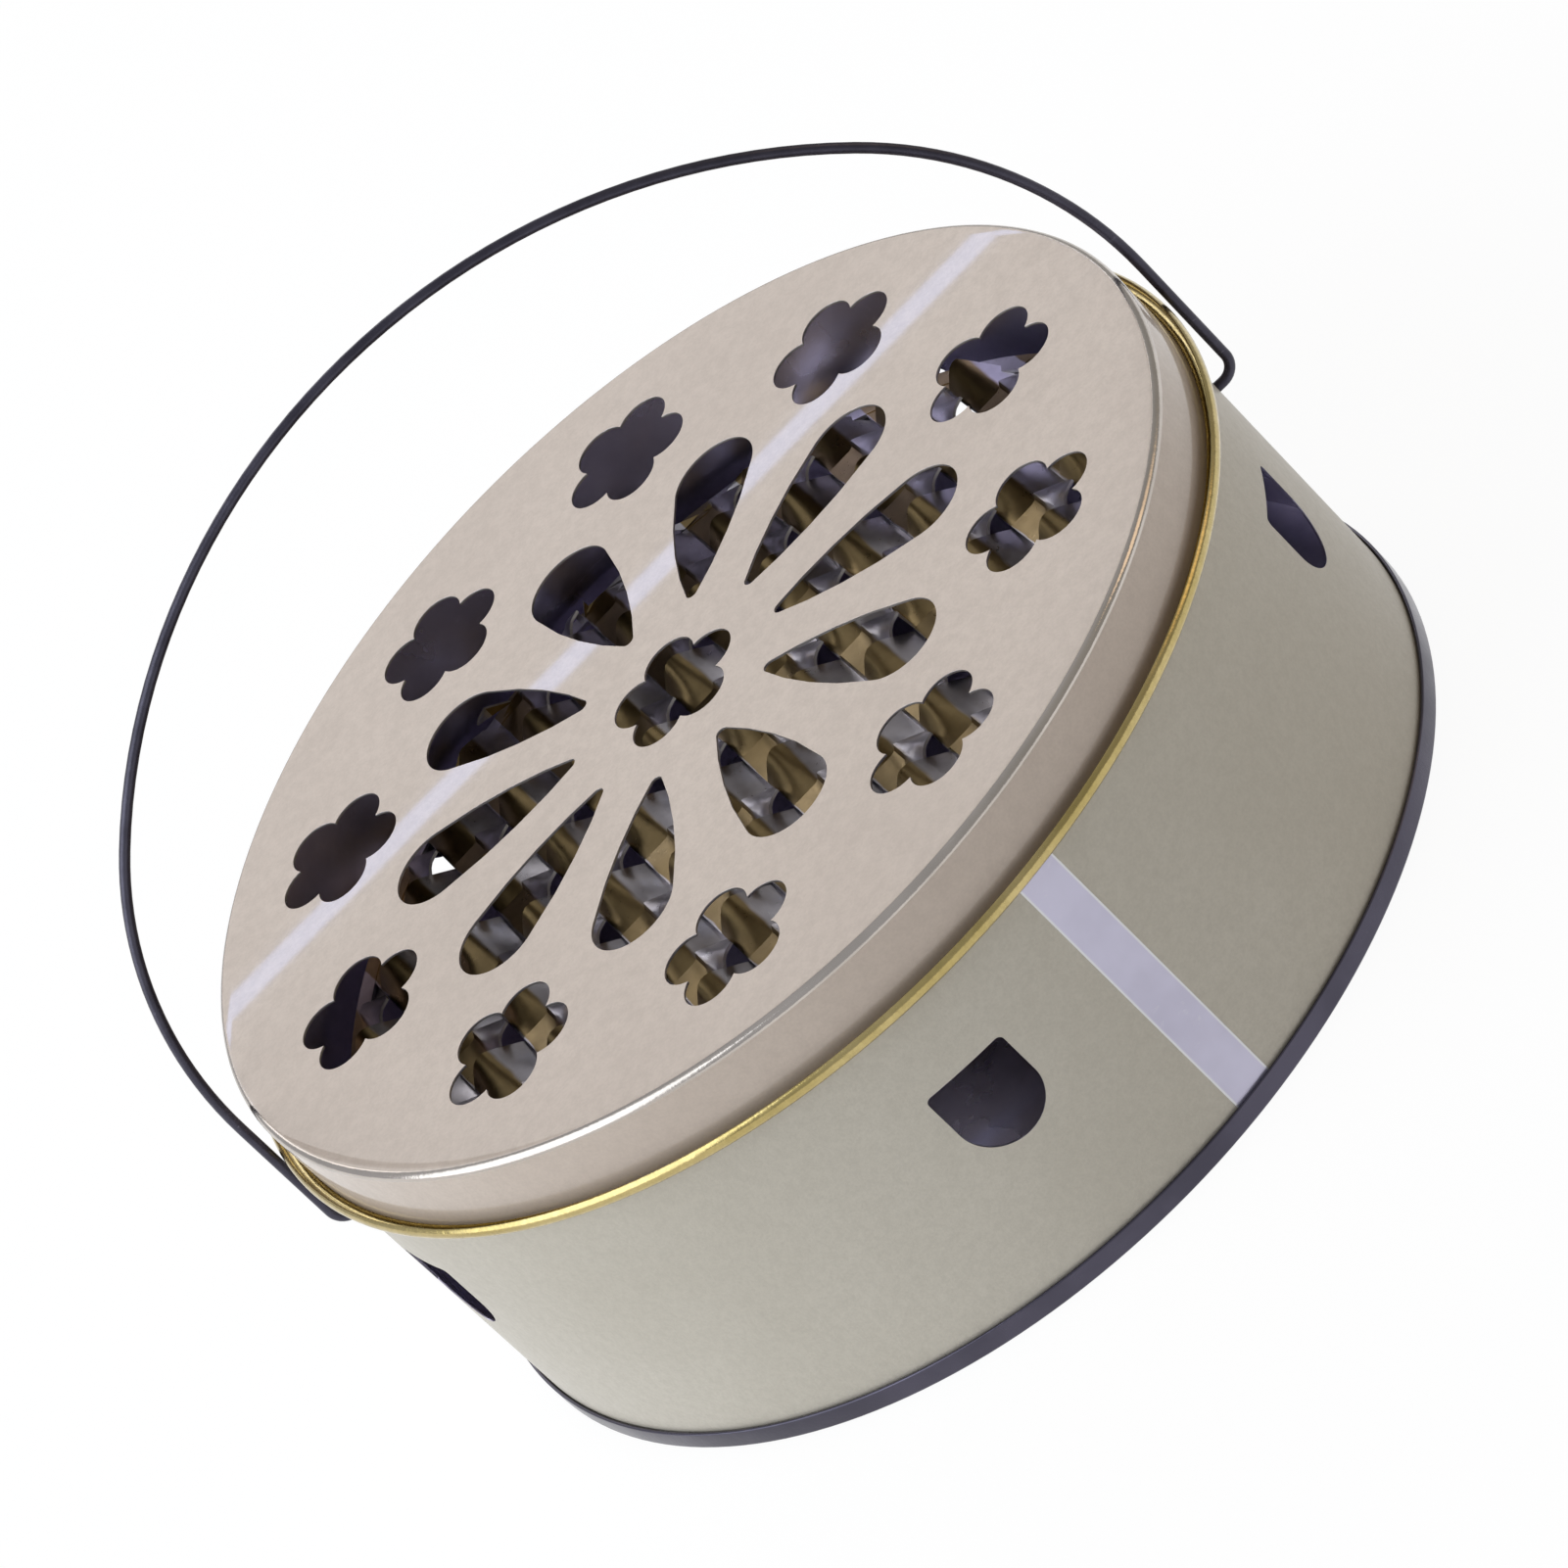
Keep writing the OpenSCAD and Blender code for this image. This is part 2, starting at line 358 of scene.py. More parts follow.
def gold_lacquer():
    """The lid's inner lacquer, a clear gold over bright tin, which shows on the curl."""
    tone_a, tone_b = (0.56, 0.45, 0.20), (0.46, 0.36, 0.13)
    f = Finish("gold_lacquer", Metallic=1.0, Coat_Weight=0.3, Coat_Roughness=0.1)
    drift = f.place(TONE_DRIFT, Scale=70.0, Tone_A=tone_a, Tone_B=tone_b)
    grain = f.place(LACQUER_GRAIN, Speckle=1800.0, Peel=500.0)
    darker = tuple(0.6 * c for c in tone_b)
    f.colour(f.part(grain["Mottle"], 0.3), drift["Color"], darker)
    f.roughness(f.part(grain["Mottle"], 0.18), 0.12)
    f.bump(grain["Height"], 0.00006)
    return f.material


def bare_tin(name, tone_a, tone_b, rough, gloss=0.0):
    """Tinplate without lacquer, its rubs brighter than the rest."""
    f = Finish(name, Metallic=1.0, Coat_Weight=gloss, Coat_Roughness=0.12)
    drift = f.place(TONE_DRIFT, Scale=55.0, Tone_A=tone_a, Tone_B=tone_b)
    rubs = f.place(SCUFFS, Scale=90.0)
    grain = f.place(LACQUER_GRAIN, Speckle=2200.0, Peel=420.0)
    bright = tuple(min(1.0, 1.35 * c) for c in tone_a)
    f.colour(f.part(rubs["Mask"], 0.6), drift["Color"], bright)
    f.roughness(f.part(drift["Fac"], 0.12), rough)
    f.bump(grain["Height"], 0.00005)
    return f.material


def seam_tin():
    """Bare strip of the side seam: the lap's two long edges are rubbed bright."""
    f = Finish("seam_tin", Metallic=0.6, Coat_Roughness=0.12)
    t = f.tree
    across = t.nodes.new("ShaderNodeVectorMath")
    across.operation = "DOT_PRODUCT"
    a = math.radians(SEAM_ANGLE)
    across.inputs[1].default_value = (-math.sin(a), math.cos(a), 0)
    t.links.new(f.where, across.inputs[0])
    off = maths(t, "ABSOLUTE", across.outputs["Value"])
    edge = remap(t, off, (SEAM_WIDTH / 2 - 0.35) * MM, (SEAM_WIDTH / 2 - 0.15) * MM)
    drift = f.place(TONE_DRIFT, Scale=55.0, Tone_A=(0.585, 0.565, 0.70), Tone_B=(0.52, 0.50, 0.62))
    rubs = f.place(SCUFFS, Scale=90.0)
    grain = f.place(LACQUER_GRAIN, Speckle=2200.0, Peel=420.0)
    worn = maths(t, "MAXIMUM", edge, f.part(rubs["Mask"], 0.5))
    f.colour(worn, drift["Color"], (0.72, 0.72, 0.74))
    f.roughness(f.part(drift["Fac"], 0.12), 0.3)
    f.bump(grain["Height"], 0.00005)
    return f.material


def wave_tin():
    """Bright tin of the wave grid with painted reflection and shade: the arches' near flanks are
    painted a dark gold, the others grey, for the shade and the light that each flank mirrors.
    """
    f = Finish("wave_tin", Metallic=1.0)
    t = f.tree
    on_rows = t.nodes.new("ShaderNodeMapping")
    on_rows.inputs["Rotation"].default_value = (0, 0, math.radians(-GRID_TURN))
    on_rows.inputs["Location"].default_value = (-WAVE_START * MM, 0, 0)
    t.links.new(f.where, on_rows.inputs["Vector"])
    axes = t.nodes.new("ShaderNodeSeparateXYZ")
    t.links.new(on_rows.outputs["Vector"], axes.inputs[0])
    along = maths(t, "FRACT", maths(t, "DIVIDE", axes.outputs["X"], HALF_WAVE * MM))
    wobble = f.part(maths(t, "SUBTRACT", noise(t, f.where, 160.0, 2.0), 0.5), 0.12)
    along = maths(t, "ADD", along, wobble)
    # Painted reflection and shade: this mask gives the near flanks a dark gold for the shade they
    # mirror, and the rest a grey for the light from the lid's holes.
    flank_reflection = maths(t, "MULTIPLY", remap(t, along, 0.0, 0.03), remap(t, along, 0.5, 0.58, 1.0, 0.0))
    gold = f.place(TONE_DRIFT, Scale=110.0, Tone_A=(0.33, 0.24, 0.115), Tone_B=(0.24, 0.175, 0.085))
    grey = f.place(TONE_DRIFT, Scale=90.0, Tone_A=(0.68, 0.655, 0.71), Tone_B=(0.44, 0.42, 0.46))
    grain = f.place(LACQUER_GRAIN, Speckle=2400.0, Peel=350.0)
    f.colour(flank_reflection, grey["Color"], gold["Color"])
    f.roughness(f.part(grain["Mottle"], 0.1), 0.27)
    f.bump(grain["Height"], 0.000015)
    return f.material


def dark_wire():
    """Dark plating of the handle's wire, rubbed lighter in places."""
    f = Finish("dark_wire", Metallic=0.7, Coat_Weight=0.2, Coat_Roughness=0.25)
    drift = f.place(TONE_DRIFT, Scale=120.0, Tone_A=(0.062, 0.058, 0.085),
        Tone_B=(0.035, 0.032, 0.05))
    rubs = f.place(SCUFFS, Scale=140.0)
    grain = f.place(LACQUER_GRAIN, Speckle=3000.0, Peel=900.0)
    f.colour(rubs["Mask"], drift["Color"], (0.2, 0.19, 0.24))
    f.roughness(f.part(grain["Mottle"], 0.15), 0.32)
    f.bump(grain["Height"], 0.00004)
    return f.material


LID_OUT = champagne_lacquer("lid_lacquer", (0.595, 0.50, 0.42), (0.555, 0.462, 0.385),
    peel=620.0, peel_depth=0.00003, gloss=0.6)
LID_EDGE = bare_tin("burnished_edge", (0.58, 0.53, 0.485), (0.48, 0.44, 0.40), 0.13)
# Painted light: the wall takes the lid's lacquer in a tone of its own, set for the light that falls
# on the upright wall.
WALL_OUT = champagne_lacquer("wall_lacquer", (0.565, 0.525, 0.445), (0.525, 0.485, 0.405),
    peel=820.0, peel_depth=0.00007, gloss=0.1)
GOLD_IN = gold_lacquer()
TIN_IN = bare_tin("inside_tin", (0.59, 0.55, 0.71), (0.48, 0.445, 0.60), 0.26)
TIN_CUT = bare_tin("cut_edge", (0.75, 0.72, 0.70), (0.60, 0.57, 0.55), 0.35)
TIN_SEAM = seam_tin()
# Painted reflection: the base rim's bare tin is given a near-black colour for the dark surroundings
# it mirrors.
RIM_TIN_PAINTED_DARK = bare_tin("rim_tin_painted_dark", (0.081, 0.075, 0.106), (0.058, 0.054, 0.077), 0.24, gloss=0.25)
WAVE_TIN = wave_tin()
# Painted highlight: the grid's cut edges are bare tin painted lighter than its faces, so that they
# show as bright lines.
WAVE_CUT_HIGHLIGHT = bare_tin("wave_cut_edge_highlight", (0.80, 0.76, 0.72), (0.62, 0.58, 0.52), 0.3)
WIRE = dark_wire()


# Modelling by hand

def clear_selection():
    """Back to object mode with nothing selected."""
    if bpy.context.object and bpy.context.object.mode != "OBJECT":
        bpy.ops.object.mode_set(mode="OBJECT")
    bpy.ops.object.select_all(action="DESELECT")


def pick(ob):
    clear_selection()
    ob.select_set(True)
    bpy.context.view_layer.objects.active = ob


def turn_z(degrees):
    """A turn about the tin's axis."""
    return Matrix.Rotation(math.radians(degrees), 4, "Z")


def arc(cx, cz, r, a0, a1, steps):
    """Points of an arc about (cx, cz), from the angle a0 to a1."""
    angles = [math.radians(a0 + (a1 - a0) * k / steps) for k in range(steps + 1)]
    return [(cx + r * math.cos(a), cz + r * math.sin(a)) for a in angles]


def face_outwards():
    """In edit mode, turns all faces of a closed shape to the outside."""
    bpy.ops.mesh.select_all(action="SELECT")
    bpy.ops.mesh.normals_make_consistent(inside=False)
    bpy.ops.object.mode_set(mode="OBJECT")


def turned(name, profile, segments=192, closed=False):
    """A ring, extruded and scaled from point to point of the profile, in millimetres."""
    clear_selection()
    r, z = profile[0]
    bpy.ops.mesh.primitive_circle_add(vertices=segments, radius=r * MM)
    ob = bpy.context.object
    ob.name = name
    bpy.ops.object.mode_set(mode="EDIT")
    bpy.ops.mesh.select_mode(type="EDGE")
    bpy.ops.mesh.select_all(action="SELECT")
    bpy.ops.transform.translate(value=(0, 0, z * MM))
    for r1, z1 in profile[1:]:
        bpy.ops.mesh.extrude_edges_move(TRANSFORM_OT_translate={"value": (0, 0, (z1 - z) * MM)})
        bpy.ops.transform.resize(value=(r1 / r, r1 / r, 1), center_override=(0, 0, 0))
        r, z = r1, z1
    bpy.ops.mesh.select_all(action="SELECT")
    if closed:
        bpy.ops.mesh.remove_doubles(threshold=WELD)
    else:
        bpy.ops.mesh.fill_holes(sides=0)
    face_outwards()
    return ob


def apply_modifier(ob, kind, **settings):
    """Adds a modifier with its settings and applies it at once."""
    pick(ob)
    m = ob.modifiers.new(kind.title(), kind)
    for label, v in settings.items():
        setattr(m, label, v)
    bpy.ops.object.modifier_apply(modifier=m.name)


def carve(ob, cutter, operation="DIFFERENCE"):
    """Cuts a piece by a cutter, or fuses the two; either way the cutter is used up."""
    apply_modifier(ob, "BOOLEAN", operation=operation, solver="EXACT", object=cutter)
    bpy.data.objects.remove(cutter)


def joined(name, parts):
    """The parts as one object, without fusing their meshes."""
    clear_selection()
    for p in parts:
        p.select_set(True)
    bpy.context.view_layer.objects.active = parts[0]
    bpy.ops.object.join()
    parts[0].name = name
    return parts[0]


def copied(ob, turn=0.0, shift=(0, 0, 0), spin=0.0):
    """A copy with its own mesh, spun on its own axis, shifted, then turned about the tin's axis."""
    pick(ob)
    bpy.ops.object.duplicate(linked=False)
    twin = bpy.context.object
    twin.data.transform(turn_z(turn) @ Matrix.Translation(Vector(shift) * MM) @ turn_z(spin))
    return twin


def soften(ob, width, segments=2):
    """Rounds every edge that turns by more than 50 degrees."""
    apply_modifier(ob, "BEVEL", width=width * MM, segments=segments, limit_method="ANGLE",
        angle_limit=math.radians(50.0), use_clamp_overlap=True)


def smooth(ob, angle=35.0):
    pick(ob)
    bpy.ops.object.shade_smooth_by_angle(angle=math.radians(angle))


def even_shading(ob):
    """Keeps large flat faces free of smears beside their cut and softened edges."""
    apply_modifier(ob, "WEIGHTED_NORMAL", keep_sharp=True, weight=80)


def rod(radius, low, high, vertices, at=(0, 0)):
    """An upright cylinder between two heights."""
    clear_selection()
    bpy.ops.mesh.primitive_cylinder_add(vertices=vertices, radius=radius * MM,
        depth=(high - low) * MM, location=(at[0] * MM, at[1] * MM, (low + high) / 2 * MM))
    bpy.ops.object.transform_apply(location=True, rotation=False, scale=False)
    return bpy.context.object


def paint(ob, materials, choose):
    """Material slots in order, each face given the slot that its middle and normal ask for."""
    ob.data.materials.clear()
    for m in materials:
        ob.data.materials.append(m)
    for p in ob.data.polygons:
        c = p.center
        r = math.hypot(c.x, c.y) / MM
        out = (c.x * p.normal.x + c.y * p.normal.y) / (r * MM) if r > 0.01 else 0.0
        p.material_index = choose(r, c.z / MM, out, p.normal.z)


# Lid

def flower_cutter():
    """Five petals round a disc, fused into one punch."""
    punch = rod(PETAL_OFFSET, -PUNCH_REACH, PUNCH_REACH, 40)
    for k in range(PETAL_COUNT):
        a = math.radians(360 / PETAL_COUNT * k)
        at = (PETAL_OFFSET * math.cos(a), PETAL_OFFSET * math.sin(a))
        carve(punch, rod(PETAL_R, -PUNCH_REACH, PUNCH_REACH, 44, at), "UNION")
    return punch


def drop_cutter():
    """Discs of growing size, drawn into one drop by their hull."""
    drop = joined("drop", [rod(r, -PUNCH_REACH, PUNCH_REACH, 72, (x, 0)) for r, x in DROP_DISCS])
    pick(drop)
    bpy.ops.object.mode_set(mode="EDIT")
    bpy.ops.mesh.select_all(action="SELECT")
    bpy.ops.mesh.convex_hull()
    bpy.ops.object.mode_set(mode="OBJECT")
    return drop


def make_lid():
    """One turned sheet from the plate down to the curl, pierced by flowers and drops."""
    curl_end = 415
    shoulder = (LID_R - SHOULDER_R, TIN_HEIGHT - SHOULDER_R)
    profile = [(PLATE_R, LID_UNDER)]
    profile += arc(*shoulder, SHOULDER_R - LID_SHEET, 90, 0, 6)
    profile += [(SKIRT_IN, SKIRT_BREAK)]
    profile += arc(CURL_X, CURL_Z, CURL_R, 180, curl_end, 26)
    profile += arc(CURL_X, CURL_Z, CURL_R - LID_SHEET, curl_end, 180, 20)
    profile += [(LID_R, SKIRT_BREAK)]
    profile += arc(*shoulder, SHOULDER_R, 0, 90, 8)
    profile += [(PLATE_R, TIN_HEIGHT)]
    lid = turned("pierced_lid", profile)
    flower = flower_cutter()
    drop = drop_cutter()
    level = TIN_HEIGHT - 0.2
    step = 360 / FLOWER_COUNT
    punches = [copied(flower, shift=(0, 0, level), turn=PATTERN_TURN)]
    for k in range(FLOWER_COUNT):
        turn = PATTERN_TURN + step * k
        punches.append(copied(flower, turn=turn, shift=(FLOWER_RING, 0, level), spin=180))
        punches.append(copied(drop, turn=turn + step / 2, shift=(0, 0, level)))
    for tool in (flower, drop):
        bpy.data.objects.remove(tool)
    carve(lid, joined("punches", punches))
    soften(lid, 0.1)
    smooth(lid)
    even_shading(lid)

    outside, inside, cut, burnished = range(4)
    curl_top = CURL_Z + 1.7
    mid_skirt = SKIRT_IN + 0.15

    def side(r, z, out, up):
        if z < curl_top and r > SKIRT_IN - 0.05:
            return inside if r > LID_R + 0.02 or r < mid_skirt else outside
        if z > shoulder[1] - 0.1 and r > shoulder[0] + 0.05 and out > 0.12:
            return burnished
        if (up < -0.5 and z < level) or (out < -0.5 and SKIRT_IN - 0.15 < r < mid_skirt):
            return inside
        if r < PLATE_R - 0.2 and abs(up) < 0.9:
            return cut
        return outside

    paint(lid, [LID_OUT, GOLD_IN, TIN_CUT, LID_EDGE], side)
    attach(lid, "lid")
    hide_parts("lid")


# Wall

def vent_shape(width, height, low, high):
    """A flat-topped, round-bottomed plate: a disc fused to a block with two soft corners."""
    r = width / 2
    disc = rod(r, low, high, 72, (0, r - height))
    clear_selection()
    bpy.ops.mesh.primitive_cube_add(size=1, location=(0, (r - height) / 2 * MM,
        (low + high) / 2 * MM), scale=(width * MM, (height - r) * MM, (high - low) * MM))
    bpy.ops.object.transform_apply(location=True, rotation=False, scale=True)
    block = bpy.context.object
    bpy.ops.object.mode_set(mode="EDIT")
    bpy.ops.mesh.select_mode(type="EDGE")
    bpy.ops.mesh.select_all(action="DESELECT")
    bpy.ops.object.mode_set(mode="OBJECT")
    near = 0.1 * MM
    verts = block.data.vertices
    for e in block.data.edges:
        a, b = (verts[v].co for v in e.vertices)
        e.select = abs(a.z - b.z) > near and a.y > -near and b.y > -near
    bpy.ops.object.mode_set(mode="EDIT")
    bpy.ops.mesh.bevel(offset=VENT_CORNER * MM, segments=6, affect="EDGES")
    bpy.ops.object.mode_set(mode="OBJECT")
    carve(disc, block, "UNION")
    return disc


def vent_cutters():
    """The punches of the five vents and the drills of the two pin holes, as one cutter."""
    punch = vent_shape(VENT_WIDTH, VENT_HEIGHT, CUT_FROM, CUT_TO)
    punch.data.transform(Matrix.Translation((0, 0, VENT_TOP * MM))
        @ turn_z(90) @ Matrix.Rotation(math.radians(90), 4, "X"))
    cutters = [copied(punch, turn=VENT_TURN + 360 / VENT_COUNT * k) for k in range(VENT_COUNT)]
    for side in (1, -1):
        drill = rod(WIRE_R + PIN_ROOM, CUT_FROM, CUT_TO, 32)
        drill.data.transform(Matrix.Translation((0, 0, PIVOT_Z * MM))
            @ Matrix.Rotation(math.radians(90 * side), 4, "Y"))
        cutters.append(drill)
    bpy.data.objects.remove(punch)
    return joined("vent_cutters", cutters)


def vent_tabs():
    """The tabs that the vents were cut from, folded level inside the wall."""
    tab = vent_shape(VENT_WIDTH - TAB_ROOM, VENT_HEIGHT, 0, WALL_SHEET)
    soften(tab, 0.05)
    tab.data.transform(Matrix.Translation(((WALL_IN + TAB_TUCK) * MM, 0, VENT_TOP * MM))
        @ turn_z(-90))
    tabs = [copied(tab, turn=VENT_TURN + 360 / VENT_COUNT * k) for k in range(VENT_COUNT)]
    bpy.data.objects.remove(tab)
    return tabs


def make_wall():
    """One turned sheet with its curled top edge, the vents cut out and their tabs folded in."""
    levels = [WALL_FOOT, 20.0, 40.0]
    profile = [(WALL_R, z) for z in levels]
    profile += arc(WALL_R - EDGE_R, EDGE_Z, EDGE_R, 0, 200, 16)
    profile += arc(WALL_R - EDGE_R, EDGE_Z, EDGE_R - WALL_SHEET, 200, 0, 14)
    profile += [(WALL_IN, z) for z in reversed(levels)] + [(WALL_R, WALL_FOOT)]
    wall = turned("vented_wall", profile, segments=256, closed=True)
    carve(wall, vent_cutters())
    soften(wall, 0.05)
    wall = joined("vented_wall", [wall] + vent_tabs())
    smooth(wall)
    even_shading(wall)

    outside, inside = range(2)
    mid_edge = EDGE_R - WALL_SHEET / 2

    def side(r, z, out, up):
        if z > EDGE_Z + 0.02:
            return outside if math.hypot(r - (WALL_R - EDGE_R), z - EDGE_Z) > mid_edge else inside
        return outside if out > 0.9 and r > WALL_R - 0.05 else inside

    paint(wall, [WALL_OUT, TIN_IN], side)
    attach(wall, "tin")
    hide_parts("body_wall")


def make_seam():
    """The welded side seam: a bare strip, lapped a hair proud of the lacquered sheet."""
    half = math.degrees(SEAM_WIDTH / 2 / WALL_R)
    low = RIM_HEIGHT - RIM_TUCK
    clear_selection()
    bpy.ops.mesh.primitive_plane_add(size=1, location=(0, 0, 0),
        rotation=(math.radians(90), 0, 0))
    strip = bpy.context.object
    strip.name = "side_seam"
    strip.scale = (SEAM_SHEET * MM, (SEAM_TOP - low) * MM, 1)
    strip.location = ((WALL_R + SEAM_PROUD - SEAM_SHEET / 2) * MM, 0, (SEAM_TOP + low) / 2 * MM)
    bpy.ops.object.transform_apply(location=True, rotation=True, scale=True)
    strip.data.transform(turn_z(SEAM_ANGLE - half))
    bpy.ops.object.mode_set(mode="EDIT")
    bpy.ops.mesh.select_all(action="SELECT")
    # with no window, spin turns the other way
    bpy.ops.mesh.spin(steps=10, angle=-math.radians(2 * half), center=(0, 0, 0), axis=(0, 0, 1))
    face_outwards()
    soften(strip, 0.02, 1)
    smooth(strip)
    strip.data.materials.append(TIN_SEAM)
    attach(strip, "tin")


# Base

def make_base():
    """The floor with its pressed ring, and the rim that seams it to the wall's foot."""
    seat_in = WALL_IN - 0.03
    seat_out = WALL_R + 0.03
    groove_out = WALL_R + 0.12
    lip_r = 0.22
    foot_r = 0.4
    lip_z = RIM_HEIGHT - lip_r
    floor_low = FLOOR_TOP - WALL_SHEET
    bead_top = [(r, FLOOR_TOP + h) for r, h in BEAD]
    bead_low = [(r, z - WALL_SHEET) for r, z in reversed(bead_top)]
    profile = [(FLOOR_R, FLOOR_TOP)] + bead_top
    profile += [(RIM_IN - 0.25, FLOOR_TOP), (RIM_IN, FLOOR_TOP + 0.08)]
    profile += [(seat_in, FLOOR_TOP + 0.1), (seat_in, WALL_FOOT), (seat_out, WALL_FOOT)]
    profile += [(seat_out, RIM_HEIGHT - 0.45), (groove_out, RIM_HEIGHT - 0.4)]
    profile += arc(groove_out + lip_r, lip_z, lip_r, 180, 90, 4)
    profile += arc(RIM_OUT - lip_r, lip_z, lip_r, 90, 0, 5)
    profile += [(RIM_OUT, 1.6)]
    profile += arc(RIM_OUT - foot_r, foot_r, foot_r, 0, -90, 6)
    profile += arc(RIM_IN + foot_r, foot_r, foot_r, -90, -180, 6)
    profile += [(RIM_IN, floor_low - 0.25), (RIM_IN - 0.08, floor_low - 0.06),
        (RIM_IN - 0.3, floor_low)]
    profile += bead_low + [(FLOOR_R, floor_low)]
    base = turned("seamed_base", profile)
    smooth(base, 40)

    rim, floor = range(2)

    def side(r, z, out, up):
        return floor if z > floor_low - 0.01 and r < WALL_IN and up > 0.1 else rim

    paint(base, [RIM_TIN_PAINTED_DARK, TIN_IN], side)
    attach(base, "tin")
    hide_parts("base_end")


# Wave grid

def read_off(points, x):
    """Height at x on the line through the points."""
    for (x0, z0), (x1, z1) in zip(points, points[1:]):
        if x <= x1:
            return z0 + (z1 - z0) * (x - x0) / (x1 - x0)
    return points[-1][1]


def row_height(x, t):
    """Height of an even row at x along it and t across it, 0 front to 1 back."""
    k = math.floor((x - WAVE_START) / HALF_WAVE)
    u = x - WAVE_START - k * HALF_WAVE
    front, back = (ARCH_FRONT, ARCH_BACK) if k % 2 == 0 else (LIFT_FRONT, LIFT_BACK)
    a, b = read_off(front, u), read_off(back, u)
    return a + (b - a) * t


def wave_row(index):
    """One row: a flat grid, pressed to its heights and cut to the grid's circle."""
    low = ROW_START + index * ROW_DEPTH
    high = low + ROW_DEPTH
    reach = GRID_R - ROWS_INSIDE
    narrowest = 2
    if abs(low + high) / 2 > reach + ROW_DEPTH / 2 - narrowest:
        return None
    columns = [WAVE_START + k * HALF_WAVE + m
        for k in range(-WAVES_EACH_WAY, WAVES_EACH_WAY) for m in ROW_MARKS]
    stride = len(columns)
    odd = index % 2
    shift = HALF_WAVE * odd
    tip = reach - 0.01
    clear_selection()
    bpy.ops.mesh.primitive_grid_add(x_subdivisions=stride - 1, y_subdivisions=ROW_STRIPS, size=1)
    row = bpy.context.object
    row.name = "wave_row"
    for i, v in enumerate(row.data.vertices):
        t = (i // stride) / ROW_STRIPS
        y = min(max(low + t * ROW_DEPTH, -tip), tip)
        edge = math.sqrt(reach * reach - y * y)
        x = min(max(columns[i % stride], -edge), edge)
        v.co = (x * MM, y * MM, row_height(x - shift, t) * MM)
    # the lifted ends are slit from the next arch
    for p in row.data.polygons:
        i = min(v % stride for v in p.vertices)
        k = i // len(ROW_MARKS) - WAVES_EACH_WAY - odd
        p.select = i % len(ROW_MARKS) == len(ROW_MARKS) - 1 and k % 2 == 1
    bpy.ops.object.mode_set(mode="EDIT")
    bpy.ops.mesh.select_mode(type="FACE")
    bpy.ops.mesh.delete(type="ONLY_FACE")
    bpy.ops.mesh.select_all(action="SELECT")
    bpy.ops.mesh.remove_doubles(threshold=ROW_WELD)
    bpy.ops.mesh.dissolve_degenerate(threshold=ROW_WELD)
    bpy.ops.object.mode_set(mode="OBJECT")
    return row


def grid_rim():
    """The grid's edge: a flat band over the rows' ends, turned down outside."""
    band_in = GRID_R - GRID_RIM
    band_top = 0.1
    band_low = -0.42
    foot = -1.43
    ring = turned("grid_rim", [(band_in, band_top), (GRID_R - 0.35, band_top),
        (GRID_R - 0.08, 0.02), (GRID_R, -0.2), (GRID_R, foot), (GRID_R - 0.38, foot),
        (GRID_R - 0.45, band_low), (band_in, band_low), (band_in, band_top)], closed=True)
    ring.data.materials.append(WAVE_TIN)
    return ring


def make_grid():
    """The rows side by side, thickened to a sheet, inside their rim."""
    rows = [wave_row(i) for i in range(-ROWS_EACH_WAY, ROWS_EACH_WAY + 1)]
    grid = joined("wave_grid", [r for r in rows if r])
    for m in (WAVE_TIN, WAVE_CUT_HIGHLIGHT):
        grid.data.materials.append(m)
    apply_modifier(grid, "SOLIDIFY", thickness=ROW_SHEET * MM, offset=-1.0, material_offset_rim=1)
    grid = joined("wave_grid", [grid, grid_rim()])
    grid.data.transform(Matrix.Translation((0, 0, GRID_LEVEL * MM)) @ turn_z(GRID_TURN))
    smooth(grid, 28)
    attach(grid, "grid")
    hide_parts("coil_grid")


# Handle

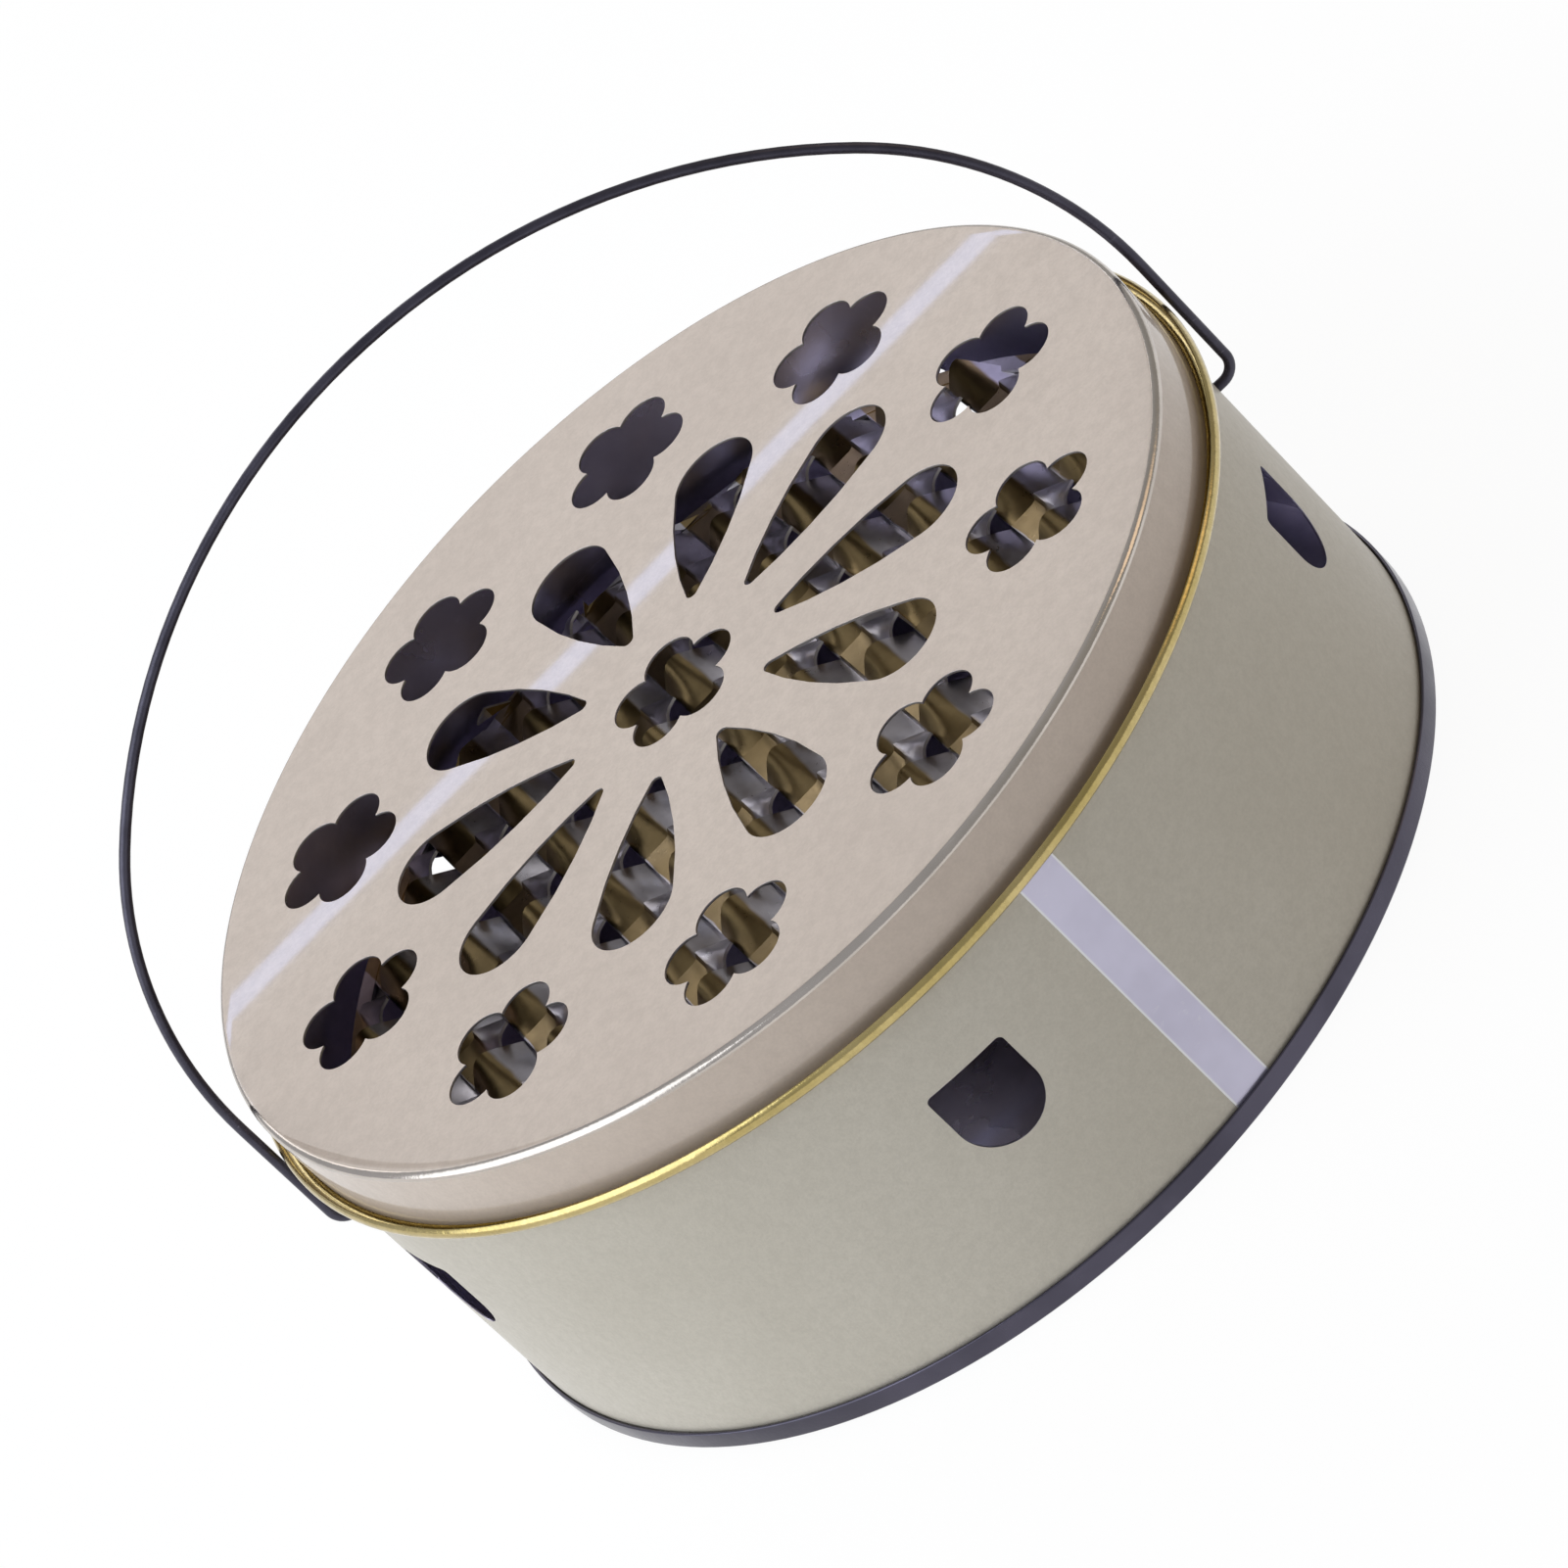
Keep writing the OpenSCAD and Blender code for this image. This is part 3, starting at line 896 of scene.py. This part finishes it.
def make_handle():
    """One wire: a disc drawn along the pin, hook, leg, arch and back down to the other pin."""
    side_x = HALF_SPAN - SIDE_R
    top_r = (side_x ** 2 + ARCH ** 2 - SIDE_R ** 2) / (2 * (ARCH - SIDE_R))
    top_z = LEG + ARCH - top_r
    join = math.atan2(LEG - top_z, side_x)
    pin_end = WALL_IN - PIN_REACH
    hook_x = HALF_SPAN - HOOK_R
    clear_selection()
    bpy.ops.mesh.primitive_circle_add(vertices=28, radius=WIRE_R * MM,
        location=(pin_end * MM, 0, PIVOT_Z * MM), rotation=(0, math.radians(90), 0))
    bpy.ops.object.transform_apply(location=True, rotation=True, scale=True)
    wire = bpy.context.object
    wire.name = "bail_handle"
    bpy.ops.object.mode_set(mode="EDIT")
    bpy.ops.mesh.select_mode(type="EDGE")
    bpy.ops.mesh.select_all(action="SELECT")

    def draw(dx, dz):
        bpy.ops.mesh.extrude_edges_move(
            TRANSFORM_OT_translate={"value": (dx * MM, 0, dz * MM)})

    def bend(cx, cz, angle, steps):
        """Round a centre above the pivots; with no window, spin turns the other way."""
        bpy.ops.mesh.spin(steps=steps, angle=-angle, axis=(0, -1, 0),
            center=(cx * MM, 0, (PIVOT_Z + cz) * MM))

    draw(hook_x - pin_end, 0)
    bend(hook_x, HOOK_R, math.pi / 2, 10)
    draw(0, LEG - HOOK_R)
    bend(side_x, LEG, join, 20)
    bend(0, top_z, math.pi - 2 * join, 44)
    bend(-side_x, LEG, join, 20)
    draw(0, HOOK_R - LEG)
    bend(-hook_x, HOOK_R, math.pi / 2, 10)
    draw(hook_x - pin_end, 0)
    bpy.ops.mesh.select_all(action="SELECT")
    bpy.ops.mesh.remove_doubles(threshold=WELD)
    bpy.ops.mesh.fill_holes(sides=0)
    face_outwards()
    wire.data.transform(Matrix.Translation((0, 0, PIVOT_Z * MM))
        @ Matrix.Rotation(math.radians(-LEAN), 4, "X")
        @ Matrix.Translation((0, 0, -PIVOT_Z * MM)))
    soften(wire, 0.12)
    smooth(wire)
    wire.data.materials.append(WIRE)
    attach(wire, "handle")
    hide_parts("handle")


make_lid()
make_wall()
make_seam()
make_base()
make_grid()
make_handle()


# Floor and light. Places and sizes are in metres.

def blend_by(tree, fac, first, second, output):
    """Shows the first shader where fac is 0 and the second where it is 1."""
    blend = tree.nodes.new("ShaderNodeMixShader")
    tree.links.new(fac, blend.inputs[0])
    tree.links.new(first.outputs[0], blend.inputs[1])
    tree.links.new(second.outputs[0], blend.inputs[2])
    tree.links.new(blend.outputs[0], tree.nodes[output].inputs["Surface"])


def make_floor():
    """A pale floor that keeps the tin's shadow and looks white to camera and reflections."""
    clear_selection()
    bpy.ops.mesh.primitive_plane_add(size=12.0, location=(0, 0, 0))
    floor = bpy.context.object
    floor.name = "studio_floor"
    m = bpy.data.materials.new("studio_floor")
    m.use_nodes = True
    t = m.node_tree
    paper = t.nodes["Principled BSDF"]
    paper.inputs["Base Color"].default_value = (0.9, 0.9, 0.9, 1)
    paper.inputs["Roughness"].default_value = 0.9
    glow = t.nodes.new("ShaderNodeEmission")
    glow.inputs["Strength"].default_value = 1.04
    path = t.nodes.new("ShaderNodeLightPath")
    seen = maths(t, "MAXIMUM", path.outputs["Is Camera Ray"],
        maths(t, "MAXIMUM", path.outputs["Is Glossy Ray"], path.outputs["Is Transmission Ray"]))
    blend_by(t, maths(t, "MULTIPLY", seen, 0.9), paper, glow, "Material Output")
    floor.data.materials.append(m)


def make_world():
    """Soft light, cool from the left, warm and dimmer from the right, behind a white backdrop.

    The camera sees the backdrop whole, and reflections see a share of it.
    """
    mirrored_share = 0.25
    world = bpy.data.worlds.new("studio")
    bpy.context.scene.world = world
    world.use_nodes = True
    t = world.node_tree
    soft = t.nodes["Background"]
    soft.inputs["Strength"].default_value = 0.36
    sky = t.nodes.new("ShaderNodeTexCoord")
    axes = t.nodes.new("ShaderNodeSeparateXYZ")
    t.links.new(sky.outputs["Generated"], axes.inputs[0])
    right = remap(t, axes.outputs["X"], -0.2, 0.9)
    t.links.new(mix(t, right, (1.0, 1.03, 1.12), (0.46, 0.42, 0.34)), soft.inputs["Color"])
    white = t.nodes.new("ShaderNodeBackground")
    white.inputs["Color"].default_value = (1, 1, 1, 1)
    white.inputs["Strength"].default_value = 1.0
    path = t.nodes.new("ShaderNodeLightPath")
    mirrored = maths(t, "MAXIMUM", path.outputs["Is Glossy Ray"],
        path.outputs["Is Transmission Ray"])
    seen = maths(t, "MAXIMUM", path.outputs["Is Camera Ray"],
        maths(t, "MULTIPLY", mirrored, mirrored_share))
    blend_by(t, seen, soft, white, "World Output")


def softbox(name, spot, aim, size, power, tone, tall=None):
    """An area lamp at a spot, aimed at a point; square unless it is given a height."""
    lamp = bpy.data.lights.new(name, "AREA")
    lamp.energy = power
    lamp.color = tone
    lamp.size = size
    if tall:
        lamp.shape = "RECTANGLE"
        lamp.size_y = tall
    ob = bpy.data.objects.new(name, lamp)
    bpy.context.scene.collection.objects.link(ob)
    ob.location = spot
    ob.rotation_euler = (Vector(aim) - Vector(spot)).to_track_quat("-Z", "Y").to_euler()
    ob.visible_camera = False


def streak_tube():
    """A thin tube above and behind the tin; its mirror image is the lid's pale streak."""
    tilt = math.radians(29.9)
    reach = 0.3
    y, z = 0.042, 0.056
    turn = Matrix.Rotation(math.radians(VIEW_TURN), 3, "Z")
    spot = turn @ Vector((0, y + reach * math.cos(tilt), z + reach * math.sin(tilt)))
    softbox("tube", tuple(spot), tuple(turn @ Vector((0, y, z))),
        size=0.36, power=0.015, tone=(0.40, 0.54, 1.0), tall=0.003)


make_floor()
make_world()
softbox("key_left", (-1.7, -0.35, 0.95), (0, 0, 0.03),
    size=2.1, power=31.0, tone=(0.90, 0.95, 1.0))
softbox("back_wide", (-0.2, 1.5, 0.95), (0, 0, 0.05),
    size=1.5, power=4.5, tone=(1.0, 0.97, 0.94), tall=0.7)
softbox("side_right", (1.6, 0.1, 0.9), (0, 0, 0.05),
    size=0.8, power=2.2, tone=(1.0, 0.72, 0.45))
streak_tube()

bpy.context.scene.view_settings.view_transform = "Standard"
